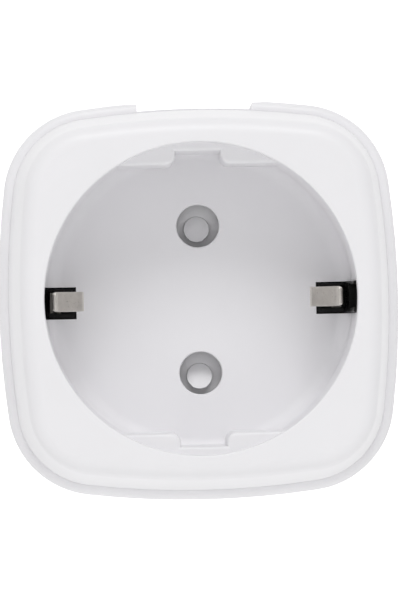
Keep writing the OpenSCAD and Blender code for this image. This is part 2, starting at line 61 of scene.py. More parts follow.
bl_info = {
    "name": "Smart plug builder",
    "version": (1, 0, 0),
    "blender": (4, 5, 0),
    "location": "3D View > Sidebar > Smart plug",
    "description": "Builds a smart plug with an earthed socket, a side button and a wall plug",
    "category": "Object",
}

MM = 0.001
FACE_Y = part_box("front_housing")[0].y          # socket face
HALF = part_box("rear_housing")[1].x / MM        # half width of the rear housing
PIN_Z = sum(c.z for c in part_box("live_pin")) / 2 / MM
PARTING, WALL, PLUG = 22.3, 42.0, 59.0         # depths behind the socket face
LIGHT, BUTTON = 25.6, 33.2                     # depths of the light guide and the button
SHELL_IN = HALF - 2.9                          # half width inside the rear shell
SCREW = 17.4                                   # screws from the middle, both ways
KEPT_NODES = ("shutter_spring",)               # shown as they come from the frame
FULL_TURN = 2 * math.pi


def depth(mm):
    """Y of a plane that lies mm behind the socket face."""
    return FACE_Y + mm * MM


def spot(x, d, z):
    """A point in millimetres: across, depth behind the socket face, up."""
    return Vector((x * MM, depth(d), z * MM))


# ---------------------------------------------------------------- settings

def length(name, description, mm):
    """A length setting, given in millimetres."""
    return bpy.props.FloatProperty(name=name, description=description, default=mm * MM,
                                   unit="LENGTH", subtype="DISTANCE", precision=5)


def colour(name, description, value):
    """A colour setting."""
    return bpy.props.FloatVectorProperty(name=name, description=description, subtype="COLOR",
                                         size=3, min=0, max=1, default=value)


def turn(name, description, degrees):
    """An angle setting, given in degrees."""
    return bpy.props.FloatProperty(name=name, description=description, unit="ROTATION",
                                   subtype="ANGLE", default=math.radians(degrees))


def level(name, description, value, unit="NONE"):
    """A setting that can't be less than nothing."""
    return bpy.props.FloatProperty(name=name, description=description, default=value, min=0,
                                   unit=unit)


class PlugBodySizes(bpy.types.PropertyGroup):
    """Sizes of the two shells and the button"""
    bow_radius: length("Bow radius", "Radius of the gently bowed sides", 115)
    corner_radius: length("Corner radius", "Radius of the rounded corners of the body", 11.7)
    front_step: length("Front step", "How far the front shell stands inside the rear one", 1.3)
    front_draft: length("Front draft", "How much the front shell narrows to its face", 1.8)
    edge_radius: length("Edge rounding", "Rounding between the socket face and the sides", 2.1)
    wall: length("Wall", "Thickness of the shells", 1.8)
    channel_width: length("Channel width", "Width of the finger channel round the button", 15)
    channel_drop: length("Channel depth", "How deep the finger channel is sunk", 1.12)
    button_proud: length("Button height", "How far the button stands out of the channel", 0.1)


class PlugSocketSizes(bpy.types.PropertyGroup):
    """Sizes of the socket recess and its slots"""
    recess_radius: length("Recess radius", "Radius of the socket recess", 19.8)
    recess_depth: length("Recess depth", "Depth of the socket recess", 17.5)
    hole_radius: length("Hole radius", "Radius of the pin holes", 2.75)
    flat_height: length("Flat height", "Distance of the guide flats from the middle", 17)
    key_width: length("Key width", "Width of the key notch between the guide flats", 5.8)
    key_height: length("Key height", "Distance of the key notch's roof from the middle", 18.7)
    clip_shift: length("Clip shift", "How far the earth clips sit to the right", -0.4)
    slot_half: length("Slot half", "Half height of the slots for the earth clips", 2.07)
    slot_middle: length("Slot middle", "Height of the middle of the slots", -0.13)


class PlugFinish(bpy.types.PropertyGroup):
    """Colours of the main materials"""
    shell: colour("Shell", "White of the housing", (0.905, 0.898, 0.917))
    shutter: colour("Shutter", "Off-white of the shutter", (0.90, 0.895, 0.91))
    carrier: colour("Carrier", "Black of the contact carrier", (0.006, 0.006, 0.006))
    nickel: colour("Nickel", "Warm grey of the nickel plating", (0.72, 0.69, 0.64))
    brass: colour("Brass", "Stamped brass of the contacts", (0.74, 0.55, 0.24))
    board: colour("Board", "Green solder mask of the boards", (0.03, 0.17, 0.07))


class PlugStage(bpy.types.PropertyGroup):
    """Camera and lights"""
    camera_distance: length("Camera distance", "From the camera to the socket face", 700)
    azimuth: turn("Azimuth", "How far the camera stands to the right", -0.8)
    elevation: turn("Elevation", "How far the camera stands above the middle", -0.4)
    roll: turn("Roll", "Tilt of the camera about its own axis", -1.25)
    surround: level("Surround", "Strength of the white surround", 0.585)
    surround_behind: level("Surround behind", "Strength of the surround behind the plug", 1.19)
    key_power: level("Key light", "Power of the overhead softbox", 2.65, "POWER")
    front_power: level("Front light", "Power of the front softbox", 0.2, "POWER")
    paper_glow: level("Paper glow", "Brightness of the paper behind the plug", 1.2)
    floor_glow: level("Floor glow", "Light that the floor adds from below", 0.18)


# ---------------------------------------------------------------- modelling helpers

def leave_edit():
    """Back to object mode."""
    bpy.ops.object.mode_set(mode="OBJECT")


def select_mesh():
    """In edit mode, selects the whole mesh."""
    bpy.ops.mesh.select_all(action="SELECT")


def close_up(gap):
    """Merges points closer than the gap, turns all faces outwards and leaves edit mode."""
    select_mesh()
    bpy.ops.mesh.remove_doubles(threshold=gap)
    bpy.ops.mesh.normals_make_consistent(inside=False)
    leave_edit()


def unselect():
    """Object mode with nothing selected."""
    if bpy.context.object and bpy.context.object.mode != "OBJECT":
        leave_edit()
    bpy.ops.object.select_all(action="DESELECT")


def pick_only(piece):
    """Object mode with one piece selected and active."""
    unselect()
    bpy.context.view_layer.objects.active = piece
    piece.select_set(True)


def rename(piece, name):
    """Gives a piece and its mesh the same name."""
    piece.name = piece.data.name = name
    return piece


def edit(piece):
    """Edit mode on one piece, nothing in it selected."""
    pick_only(piece)
    bpy.ops.object.mode_set(mode="EDIT")
    bpy.ops.mesh.select_all(action="DESELECT")


def select_where(piece, kind, test):
    """In edit mode, selects the verts, edges or faces that pass the test."""
    bpy.ops.mesh.select_mode(type=kind)
    bpy.ops.mesh.select_all(action="DESELECT")
    mesh = bmesh.from_edit_mesh(piece.data)
    parts = {"VERT": mesh.verts, "EDGE": mesh.edges, "FACE": mesh.faces}[kind]
    for part in parts:
        if test(part):
            part.select = True
    mesh.select_flush_mode()
    bmesh.update_edit_mesh(piece.data)


class Pen:
    """Draws a chain of edges in a plane: straight runs and arcs, in millimetres.

    plane "XZ" is seen from the socket side, "XY" has depth as its second axis.
    """

    def __init__(self, name, plane, origin, start):
        self.origin = Vector(origin)
        self.across = Vector((1, 0, 0))
        self.up = Vector((0, 0, 1)) if plane == "XZ" else Vector((0, 1, 0))
        self.at = Vector(start)
        self.start = Vector(start)
        unselect()
        bpy.ops.mesh.primitive_plane_add(size=MM, location=(0, 0, 0))
        self.piece = rename(bpy.context.object, name)
        bpy.ops.object.mode_set(mode="EDIT")
        select_mesh()
        bpy.ops.mesh.merge(type="CENTER")
        bpy.ops.mesh.select_mode(type="VERT")
        select_mesh()
        bpy.ops.transform.translate(value=self.place(start))

    def place(self, point):
        """The point in space that a pair of millimetres stands for."""
        return self.origin + (self.across * point[0] + self.up * point[1]) * MM

    def line(self, *points):
        """Straight runs from where the pen is to each point in turn."""
        for point in points:
            step = self.place(point) - self.place(self.at)
            bpy.ops.mesh.extrude_vertices_move(TRANSFORM_OT_translate={"value": step})
            self.at = Vector(point)
        return self

    def arc(self, centre, degrees, steps):
        """Turns about a centre, positive from the first axis towards the second."""
        bpy.ops.mesh.spin(steps=steps, angle=-math.radians(degrees), center=self.place(centre),
                          axis=self.across.cross(self.up))
        centre = Vector(centre)
        self.at = centre + Matrix.Rotation(math.radians(degrees), 2) @ (self.at - centre)
        return self

    def loop(self):
        """Closes the chain and fills it with one face, left selected."""
        select_mesh()
        if (self.at - self.start).length > 1e-4:
            select_where(self.piece, "VERT", lambda v: len(v.link_edges) == 1)
            bpy.ops.mesh.edge_face_add()
            select_mesh()
        bpy.ops.mesh.remove_doubles(threshold=1e-6)
        bpy.ops.mesh.edge_face_add()
        return self.piece

    def lathe(self, steps=96, axis=(0, 1, 0)):
        """Turns the chain all the way round the axis through the origin."""
        select_mesh()
        bpy.ops.mesh.spin(steps=steps, angle=FULL_TURN, center=self.origin, axis=axis)
        close_up(1e-6)
        return self.piece


def face_towards(direction):
    """Turns the selected face so that it looks in a direction."""
    mesh = bmesh.from_edit_mesh(bpy.context.object.data)
    chosen = [f for f in mesh.faces if f.select]
    if sum(f.normal.dot(Vector(direction)) for f in chosen) < 0:
        bpy.ops.mesh.flip_normals()


def push(step):
    """Extrudes the selected faces by a step."""
    bpy.ops.mesh.extrude_region_move(TRANSFORM_OT_translate={"value": step})


def inset(inwards, outwards=0.0):
    """Insets the selected face, in millimetres, and lifts it along its normal."""
    bpy.ops.mesh.inset(thickness=inwards * MM, depth=outwards * MM, use_even_offset=True)


def round_over(radius, steps):
    """Rolls the selected face inwards over a quarter round of that radius."""
    for i in range(steps):
        a, b = (math.pi / 2 * k / steps for k in (i, i + 1))
        inset(radius * (math.cos(a) - math.cos(b)), radius * (math.sin(b) - math.sin(a)))


def prism(piece, step):
    """Makes the selected outline face a closed solid, step long."""
    face_towards(-Vector(step))
    bpy.ops.mesh.duplicate()
    bpy.ops.mesh.flip_normals()
    push(step)
    close_up(1e-7)
    return piece


def brick(name, corner, opposite):
    """A box between two corners, given as (across, depth, up) in millimetres."""
    low, high = (spot(*c) for c in (corner, opposite))
    low, high = (Vector(map(pick, low, high)) for pick in (min, max))
    unselect()
    bpy.ops.mesh.primitive_cube_add(size=1, location=(low + high) / 2, scale=high - low)
    bpy.ops.object.transform_apply(location=True, rotation=True, scale=True)
    return rename(bpy.context.object, name)


def modify(piece, kind, **settings):
    """Adds a modifier with these settings and applies it."""
    pick_only(piece)
    bpy.ops.object.modifier_add(type=kind)
    modifier = piece.modifiers[-1]
    for key, value in settings.items():
        setattr(modifier, key, value)
    bpy.ops.object.modifier_apply(modifier=modifier.name)


def bevel_edges(piece, test, width, segments=3):
    """Rounds the edges that pass the test."""
    edit(piece)
    select_where(piece, "EDGE", test)
    bpy.ops.mesh.bevel(offset=width * MM, segments=segments, affect="EDGES", profile=0.5,
                       clamp_overlap=True)
    leave_edit()
    return piece


def soften(piece, width, segments=2, angle=40):
    """Rounds every edge sharper than the angle with a bevel modifier."""
    modify(piece, "BEVEL", width=width * MM, segments=segments, limit_method="ANGLE",
           angle_limit=math.radians(angle))
    return piece


def combine(piece, tool, operation):
    """Applies one Boolean of a tool on a piece and removes the tool."""
    modify(piece, "BOOLEAN", operation=operation, solver="EXACT", object=tool)
    drop(tool)
    return piece


def join(name, pieces):
    """One object out of several."""
    unselect()
    for piece in pieces:
        piece.select_set(True)
    bpy.context.view_layer.objects.active = pieces[0]
    bpy.ops.object.join()
    return rename(pieces[0], name)


def copy_at(piece, name, step=(0, 0, 0), flip=None):
    """A copy with its own mesh, moved by a step or mirrored across X or Z."""
    pick_only(piece)
    bpy.ops.object.duplicate()
    twin = rename(bpy.context.object, name)
    bpy.ops.object.mode_set(mode="EDIT")
    select_mesh()
    if flip:
        sides = {"X": (-1, 1, 1), "Z": (1, 1, -1)}[flip]
        bpy.ops.transform.resize(value=sides, center_override=(0, 0, 0))
        bpy.ops.mesh.normals_make_consistent(inside=False)
    bpy.ops.transform.translate(value=step)
    leave_edit()
    return twin


def at_corners(piece, offset):
    """Copies a piece that is modelled at the middle to the four screw corners."""
    places = [(x * offset * MM, 0, z * offset * MM) for x in (-1, 1) for z in (-1, 1)]
    twins = [copy_at(piece, piece.name + "_copy", p) for p in places]
    drop(piece)
    return join(twins[0].name, twins)


def drop(piece):
    """Removes a piece and its mesh."""
    mesh = piece.data
    bpy.data.objects.remove(piece)
    bpy.data.meshes.remove(mesh)


def cut_all(piece, *tools):
    """Cuts each tool out of the piece."""
    for tool in tools:
        combine(piece, tool, "DIFFERENCE")
    return piece


def add_all(piece, *parts):
    """Fuses each part to the piece."""
    for part in parts:
        combine(piece, part, "UNION")
    return piece


def rod(name, x, z, r, near, far, rounding=0.0, steps=48):
    """Round bar along Y; both ends may be rounded."""
    pen = Pen(name, "XY", (x * MM, FACE_Y, z * MM), (0, near)).line((r - rounding, near))
    if rounding:
        pen.arc((r - rounding, near + rounding), 90, 3)
        pen.line((r, far - rounding)).arc((r - rounding, far - rounding), 90, 3)
    else:
        pen.line((r, far))
    return pen.line((0, far)).lathe(steps)


def along(axis, at=None):
    """Test for edges that run along an axis, at the places that a second test accepts."""
    def test(e):
        step = e.verts[1].co - e.verts[0].co
        return abs(step[axis]) > 0.999 * step.length and (at is None or at(*e.verts))
    return test


def key_plate(name, width, deep, radius, low, high):
    """Plate under the button with rounded corners in plan, between two heights."""
    plate = brick(name, (-width / 2, BUTTON - deep / 2, low), (width / 2, BUTTON + deep / 2, high))
    return bevel_edges(plate, along(2), radius, 6)


def finish_surface(piece):
    """Clean mesh, smooth shading between sharp edges, and flat faces that shade flat."""
    edit(piece)
    select_mesh()
    bpy.ops.mesh.remove_doubles(threshold=1e-6)
    bpy.ops.mesh.dissolve_degenerate(threshold=1e-7)
    leave_edit()
    bpy.ops.object.shade_smooth_by_angle(angle=math.radians(32))
    modify(piece, "WEIGHTED_NORMAL", keep_sharp=True, weight=80)
    return piece


# ---------------------------------------------------------------- finishes

class Finish:
    """Builds one node material around a Principled shader."""

    def __init__(self, name, colour, roughness, metallic=0.0):
        self.material = bpy.data.materials.new(name)
        self.material.use_nodes = True
        self.nodes = self.material.node_tree.nodes
        self.links = self.material.node_tree.links
        self.shader = self.nodes["Principled BSDF"]
        self.shader.inputs["Base Color"].default_value = (*colour, 1)
        self.shader.inputs["Roughness"].default_value = roughness
        self.shader.inputs["Metallic"].default_value = metallic
        self.colour = colour
        self.where = self.nodes.new("ShaderNodeTexCoord").outputs["Object"]

    def add(self, kind, inputs, **settings):
        """Adds a node; sockets among the inputs are linked, other values are set."""
        node = self.nodes.new(kind)
        for key, value in settings.items():
            setattr(node, key, value)
        for key, value in inputs.items():
            if isinstance(value, bpy.types.NodeSocket):
                self.links.new(value, node.inputs[key])
            else:
                node.inputs[key].default_value = value
        return node

    def noise(self, size, detail=3.0, stretch=(1, 1, 1)):
        """Noise whose features are about size millimetres across."""
        spread = self.add("ShaderNodeMapping", {"Vector": self.where, "Scale": stretch})
        grain = self.add("ShaderNodeTexNoise", {"Vector": spread.outputs[0],
                                                "Scale": 1 / (size * MM), "Detail": detail})
        return grain.outputs[0]

    def band(self, value, low, high):
        """Maps a noise onto a band of values."""
        ramp = self.add("ShaderNodeMapRange", {"Value": value, "From Min": 0.3, "From Max": 0.7,
                                               "To Min": low, "To Max": high})
        return ramp.outputs[0]

    def tint(self, value, amount):
        """Lightens and darkens the base colour by a small share."""
        factor = self.band(value, 1 - amount, 1 + amount)
        mix = self.add("ShaderNodeVectorMath", {0: self.colour, "Scale": factor}, operation="SCALE")
        self.links.new(mix.outputs[0], self.shader.inputs["Base Color"])

    def rough(self, value, low, high):
        """Lets the roughness wander between two values."""
        self.links.new(self.band(value, low, high), self.shader.inputs["Roughness"])

    def bump(self, value, height):
        """Raises the surface by up to a height in millimetres."""
        relief = self.add("ShaderNodeBump", {"Height": value, "Distance": height * MM})
        self.links.new(relief.outputs[0], self.shader.inputs["Normal"])


def black_insulator(name, colour):
    """Black plastic that mirrors little of the room."""
    made = Finish(name, colour, 0.3)
    made.shader.inputs["Specular IOR Level"].default_value = 0.2
    made.tint(made.noise(0.6, 3), 0.2)
    made.rough(made.noise(0.4, 3), 0.24, 0.4)
    made.bump(made.noise(0.15, 3), 0.003)
    return made.material


def moulded_plastic(name, colour, roughness=0.42, grain=0.22, relief=0.004):
    """Matte moulded plastic: fine spark-eroded grain and a faint flow mottle."""
    made = Finish(name, colour, roughness)
    made.tint(made.noise(9, 2), 0.008)
    made.rough(made.noise(grain * 3, 4), roughness - 0.05, roughness + 0.05)
    made.bump(made.noise(grain, 4), relief)
    return made.material


def plated_metal(name, colour, roughness=0.3, brushed=(1, 1, 1)):
    """Satin plated sheet: fine drawing lines and small tarnish clouds."""
    made = Finish(name, colour, roughness, metallic=1.0)
    made.tint(made.noise(1.3, 4), 0.06)
    lines = made.noise(0.12, 3, brushed)
    made.rough(lines, roughness - 0.08, roughness + 0.1)
    made.bump(lines, 0.002)
    return made.material


def fine_lines(name, colour, roughness, lines, metallic=0.0):
    """A surface with fine parallel lines, such as wound wire or a rolled sleeve."""
    made = Finish(name, colour, roughness, metallic)
    streaks = made.noise(0.2, 2, lines)
    made.tint(streaks, 0.15)
    made.rough(streaks, roughness - 0.06, roughness + 0.08)
    made.bump(streaks, 0.01)
    return made.material


def milky_guide(name):
    """Milky clear plastic that lets some light through."""
    made = Finish(name, (0.86, 0.88, 0.9), 0.16)
    made.shader.inputs["Transmission Weight"].default_value = 0.35
    made.tint(made.noise(0.8, 2), 0.03)
    made.rough(made.noise(0.5, 3), 0.12, 0.24)
    made.bump(made.noise(0.4, 3), 0.002)
    return made.material


FINISHES = {}


def make_finishes(look):
    """All the finishes of the plug, by the record's slot names."""
    shell, nickel = tuple(look.shell), tuple(look.nickel)
    brass, board = tuple(look.brass), tuple(look.board)
    wound, drawn = (1, 1, 8), (1, 0.15, 1)
    FINISHES.update({
        "white_shell": moulded_plastic("white moulded shell", shell),
        "button_white": moulded_plastic("white button cap", shell, 0.36, 0.18, 0.003),
        "light_guide": milky_guide("milky light guide"),
        "black_carrier": black_insulator("black insulator", tuple(look.carrier)),
        "shutter_white": moulded_plastic("shutter plastic", tuple(look.shutter), 0.35, 0.3, 0.003),
        "spring_steel": plated_metal("spring wire", (0.5, 0.5, 0.51), 0.28),
        "nickel_plate": plated_metal("nickel plate", nickel, 0.34, drawn),
        "contact_brass": plated_metal("stamped brass", brass, 0.3, drawn),
        "board_green": moulded_plastic("green solder mask", board, 0.3, 0.6, 0.004),
        "black_moulding": moulded_plastic("black epoxy", (0.02, 0.02, 0.022), 0.45, 0.25, 0.006),
        "led_resin": moulded_plastic("phosphor resin", (0.85, 0.8, 0.5), 0.3, 0.3, 0.003),
        "relay_blue": moulded_plastic("blue relay case", (0.02, 0.07, 0.26), 0.32, 0.4, 0.004),
        "copper_wire": fine_lines("enamelled copper", (0.62, 0.25, 0.09), 0.3, wound, 1.0),
        "core_iron": plated_metal("dull iron", (0.2, 0.2, 0.2), 0.5),
        "film_yellow": moulded_plastic("yellow box", (0.75, 0.5, 0.05), 0.35, 0.5, 0.004),
        "can_sleeve": fine_lines("dark sleeve", (0.02, 0.025, 0.05), 0.35, drawn),
        "varistor_blue": moulded_plastic("dipped epoxy", (0.02, 0.09, 0.35), 0.25, 1.2, 0.02),
        "fuse_ceramic": moulded_plastic("fuse ceramic", (0.68, 0.63, 0.5), 0.6, 0.2, 0.006),
        "screw_steel": plated_metal("zinc plated steel", (0.42, 0.42, 0.43), 0.3, (0.2, 1, 1)),
    })


# ---------------------------------------------------------------- pieces

def bow_numbers(sizes):
    """Geometry of the bowed square: bow centre, corner centre and the angle between them."""
    bow, corner = sizes.bow_radius / MM, sizes.corner_radius / MM
    back = bow - HALF
    reach = bow - corner
    corner_at = (math.sqrt(2 * reach ** 2 - back ** 2) - back) / 2
    return back, corner_at, math.degrees(math.atan2(corner_at, corner_at + back))


def bowed_square(name, d, sizes, inset_mm):
    """Filled outline of the body: four bowed sides and four round corners."""
    back, corner_at, tip = bow_numbers(sizes)
    bow = sizes.bow_radius / MM - inset_mm
    first = (bow * math.cos(math.radians(tip)) - back, -bow * math.sin(math.radians(tip)))
    pen = Pen(name, "XZ", spot(0, d, 0), first)
    quarter = Matrix.Rotation(math.pi / 2, 2)
    side, corner = Vector((-back, 0)), Vector((corner_at, corner_at))
    for _ in range(4):
        pen.arc(side, 2 * tip, 8)
        pen.arc(corner, 90 - 2 * tip, 20)
        side, corner = quarter @ side, quarter @ corner
    return pen.loop()


def open_back(piece):
    """In edit mode, fills the open edge of a shell with a face that looks backwards."""
    select_where(piece, "EDGE", lambda e: e.is_boundary)
    bpy.ops.mesh.edge_face_add()
    bpy.ops.mesh.select_mode(type="FACE")
    face_towards((0, 1, 0))


def guide_flat(sizes, fillet):
    """Flat at the top of the recess with a key notch in its middle."""
    flat, key, notch = (v / MM for v in (sizes.flat_height, sizes.key_width / 2,
                                         sizes.key_height))
    outer = sizes.recess_radius / MM + 0.8
    edge = math.sqrt(outer ** 2 - flat ** 2)
    sweep = 2 * math.degrees(math.atan2(edge, flat))
    front, length_mm = 2.5, sizes.recess_depth / MM - 2.4
    pen = Pen("guide", "XZ", spot(0, front, 0), (-edge, flat))
    pen.line((-key, flat), (-key, notch), (key, notch), (key, flat), (edge, flat))
    pen.arc((0, 0), sweep, 24)
    guide = prism(pen.loop(), (0, length_mm * MM, 0))

    def at_key(a, b):
        return abs(abs(a.co.x / MM) - key) < 0.01 and abs(a.co.z / MM - flat) < 0.01

    def front_edge(e):
        ends = [v.co for v in e.verts]
        inside = any(math.hypot(c.x, c.z) / MM < outer - 0.05 for c in ends)
        return inside and all(abs(c.y - depth(front)) < 1e-6 for c in ends)

    bevel_edges(guide, along(1, at_key), 1.2, 6)
    return bevel_edges(guide, front_edge, fillet, 3)


def recess_tool(sizes):
    """Solid that cuts the recess: rim rounding, wall, floor rounding and floor."""
    r, deep, rim, foot = sizes.recess_radius / MM, sizes.recess_depth / MM, 0.25, 2.0
    pen = Pen("recess", "XY", (0, FACE_Y, 0), (0, -2))
    pen.line((r + rim, -2), (r + rim, 0))
    pen.arc((r + rim, rim), -90, 5)
    pen.line((r, deep - foot))
    pen.arc((r - foot, deep - foot), 90, 10)
    pen.line((0, deep))
    return pen.lathe(160)


def hole_tool(z, r, near, far):
    """Round cutter along Y with a small chamfer where it enters at depth near."""
    chamfer = 0.12
    pen = Pen("hole", "XY", (0, FACE_Y, z * MM), (0, near - 1))
    pen.line((r + chamfer + 1, near - 1), (r, near + chamfer), (r, far), (0, far))
    return pen.lathe(56)


def build_front_shell(body, socket):
    """Front shell: body, cup, recess, guide flats, holes and clip slots."""
    step, draft, wall, edge = (v / MM for v in (body.front_step, body.front_draft, body.wall,
                                                body.edge_radius))
    deep, tongue_in = PARTING - 0.05, 3.1
    shell = bowed_square("front_shell", deep, body, step)
    face_towards((0, -1, 0))
    inset(draft, deep - edge)
    round_over(edge, 9)
    open_back(shell)
    inset(tongue_in - step)
    push((0, (23.8 - deep) * MM, 0))
    inset(0.8)
    inset(draft + wall - 2.6, 1.9 - 23.8)
    leave_edit()

    cup = Pen("cup", "XY", (0, FACE_Y, 0), (0, 1)).line((21.5, 1), (21.5, 19))
    cup = cup.arc((21, 19), 90, 4).line((0, 19.5)).lathe(128)
    post = Pen("post", "XY", (0, FACE_Y, 0), (0, 1.2))
    post.line((2.6, 1.2), (2.6, deep), (0.95, deep), (0.95, 7), (0, 7))
    add_all(shell, cup, at_corners(post.lathe(40), SCREW))
    cut_all(shell, recess_tool(socket))
    guide = guide_flat(socket, 0.4)
    lower = copy_at(guide, "guide_low", flip="Z")
    add_all(shell, guide, lower)

    floor = socket.recess_depth / MM
    shift, half, middle = (v / MM for v in (socket.clip_shift, socket.slot_half,
                                            socket.slot_middle))
    low, high = middle - half, middle + half
    for z in (-PIN_Z, PIN_Z):
        cut_all(shell, hole_tool(z, socket.hole_radius / MM, floor, floor + 3))
    for side in (-1, 1):
        inner, mid, outer = (shift + side * x for x in (15.5, 18.8, 21.35))
        cut_all(shell, brick("slot", (inner, floor - 0.5, low), (mid, 20, high)),
                brick("slot", (mid - side * 0.5, floor - 1, low), (outer, 20, high)),
                brick("slot", (mid, 2.6, low), (outer, 18, high)))
    return finish_surface(shell)


def boss_outline(pen, flat, side):
    """Draws the plug body's outline: round sides, flats and one rib on each flat."""
    rib, tall = 2.5, 18.3
    tip = 2 * math.degrees(math.atan2(flat, side))
    for sign in (1, -1):
        pen.arc((0, 0), tip, 40)
        pen.line(*[(sign * x, sign * z) for x, z in
                   ((rib, flat), (rib, tall), (-rib, tall), (-rib, flat), (-side, flat))])
    return pen.loop()


def plug_body():
    """The plug body that enters the wall socket, with rounded edges."""
    flat, radius = 16.5, 18.6
    side = math.sqrt(radius ** 2 - flat ** 2)
    pen = Pen("plug_body", "XZ", spot(0, WALL - 1, 0), (side, -flat))
    boss = prism(boss_outline(pen, flat, side), (0, (PLUG - WALL + 1) * MM, 0))
    return soften(boss, 0.5, 3, 25)


def plug_hollow():
    """Room inside the plug body, with tubes left round the pins and the sleeve."""
    wide, tall, radius = 14.2, 14.6, 16.4
    z0, x1 = math.sqrt(radius ** 2 - wide ** 2), math.sqrt(radius ** 2 - tall ** 2)
    sweep = math.degrees(math.atan2(tall, x1) - math.atan2(z0, wide))
    pen = Pen("hollow", "XZ", spot(0, 39.2, 0), (wide, -z0))
    for start, end in (((wide, z0), (-x1, tall)), ((-wide, -z0), (x1, -tall))):
        pen.line(start).arc((0, 0), sweep, 10)
        pen.line(end).arc((0, 0), sweep, 10)
    room = prism(pen.loop(), (0, (PLUG - 2.5 - 39.2) * MM, 0))
    tubes = [rod("tube", 0, z, 3.6, 54, 57) for z in (-PIN_Z, PIN_Z)]
    return cut_all(room, *tubes, rod("tube", 10, 0, 4.2, 52, 57))


def channel_tool(body):
    """Cutter of the finger channel: bowed floor, upright sides, softened shoulders."""
    side, shoulder = body.channel_width / 2 / MM, 2.2
    bow = body.bow_radius / MM
    centre, radius = HALF - bow, bow - body.channel_drop / MM
    lean = math.degrees(math.asin(side / radius))
    floor = centre + math.sqrt(radius ** 2 - side ** 2)
    pen = Pen("channel", "XZ", spot(0, 22, 0), (-side, floor)).arc((0, centre), -2 * lean, 12)
    pen.line((side, HALF - 0.46), (side + shoulder, HALF - 0.41), (side + shoulder, HALF + 1),
             (-side - shoulder, HALF + 1), (-side - shoulder, HALF - 0.41), (-side, HALF - 0.46))
    return prism(pen.loop(), (0, 21 * MM, 0))


def build_rear_shell(body):
    """Rear shell: body, plug body, screw posts and every opening."""
    lip, back_round, wall_in = 1.0, 2.5, 2.9
    shell = bowed_square("rear_shell", PARTING + lip, body, 0.0)
    face_towards((0, -1, 0))
    round_over(lip, 4)
    inset(wall_in - lip)
    push((0, (40.2 - PARTING) * MM, 0))
    open_back(shell)
    inset(0.2, WALL - back_round - PARTING - lip)
    round_over(back_round, 9)
    leave_edit()

    posts = at_corners(rod("post", 0, 0, 2.9, 24.3, 41), SCREW)
    add_all(shell, plug_body(), posts)
    screw = Pen("screw_hole", "XY", (0, FACE_Y, 0), (0, 21))
    screw.line((1.2, 21), (1.2, 40.3), (2.3, 40.3), (2.3, 41.8), (2.9, 42.4), (0, 42.4))
    holes = at_corners(screw.lathe(40), SCREW)
    cut_all(shell, plug_hollow(), holes, channel_tool(body))
    for z in (-PIN_Z, PIN_Z):
        cut_all(shell, rod("pin_hole", 0, z, 2.42, 50, 60))
    cut_all(shell, rod("sleeve_hole", 10, 0, 3.42, 50, 60))
    for side in (-1, 1):
        cut_all(shell, brick("side", (side * 15.8, 43.6, -3.2), (side * 19.6, 60, 3.2)),
                brick("side", (side * 13.5, 44.5, -2.5), (side * 16.5, 45.3, 2.5)))
    pipe = Pen("pipe_hole", "XZ", spot(0, LIGHT, 0), (0, 22))
    pipe.line((1.25, 22), (1.25, 27.4), (0, 27.4))
    cut_all(shell, pipe.lathe(40, (0, 0, 1)),
            key_plate("opening", 13.7, 10.3, 1.3, 22, 27.4))
    return finish_surface(shell)


def build_button(body):
    """Button cap that follows the bow of the side, with flange and stem."""
    inner = SHELL_IN
    bow = body.bow_radius / MM
    centre = HALF - body.channel_drop / MM + body.button_proud / MM - bow
    side, low = 6.7, inner - 0.9
    lean = math.degrees(math.asin(side / bow))
    start = (-side, centre + math.sqrt(bow ** 2 - side ** 2))
    pen = Pen("button_cap", "XZ", spot(0, BUTTON - 5, 0), start)
    pen.arc((0, centre), -2 * lean, 12).line((side, low), (-side, low))
    cap = prism(pen.loop(), (0, 10 * MM, 0))
    bevel_edges(cap, along(2), 1.15, 6)
    top = (inner + 1) * MM
    bevel_edges(cap, lambda e: all(v.co.z > top for v in e.verts) and len(e.link_faces) == 2
                and e.calc_face_angle() > 0.6, 0.3, 4)
    add_all(cap, key_plate("flange", 15, 11.6, 1.2, low, low + 0.6))
    cut_all(cap, key_plate("hollow", 11, 7.6, 0.6, low - 0.2, inner + 0.6))
    stem = Pen("stem", "XZ", spot(0, 32.4, 0), (0, inner - 1.15))
    stem.line((1.3, inner - 1.15), (1.4, inner - 1.05), (1.4, inner + 0.85), (0, inner + 0.85))
    add_all(cap, stem.lathe(32, (0, 0, 1)))
    return finish_surface(cap)


def build_light_guide(body):
    """Stepped rod that leads the status light to the side."""
    top, inner = HALF - body.channel_drop / MM, SHELL_IN
    pen = Pen("light_guide", "XZ", spot(0, LIGHT, 0), (0, 18.6))
    pen.line((0.9, 18.6), (1, 18.7), (1, inner - 0.9), (1.7, inner - 0.9), (1.7, inner - 0.1),
             (1.2, inner - 0.1), (1.2, top - 0.15)).arc((1.05, top - 0.15), 90, 4)
    return finish_surface(pen.line((0, top)).lathe(48, (0, 0, 1)))


def clip_side(socket):
    """Right-hand tower and slot insert of the carrier, with room for the clip to flex."""
    groove, outer = 1.5, 21.2
    low = (socket.slot_middle - socket.slot_half) / MM + 0.1
    high = (socket.slot_middle + socket.slot_half) / MM - 0.1
    pen = Pen("insert", "XY", (0, FACE_Y, low * MM), (outer, 2.9))
    pen.line((19.75, 2.9), (19.75, 14.6), (19.05, 17.7), (19.15, 18.4), (outer, 18.4))
    insert = soften(prism(pen.loop(), (0, 0, (high - low) * MM)), 0.12, 2, 25)
    cut_all(insert, brick("groove", (19, 2, -groove), (20.6, 15, groove)))
    tower = soften(brick("tower", (15.6, 17.8, low), (outer, 23, high)), 0.12)
    return add_all(tower, insert)


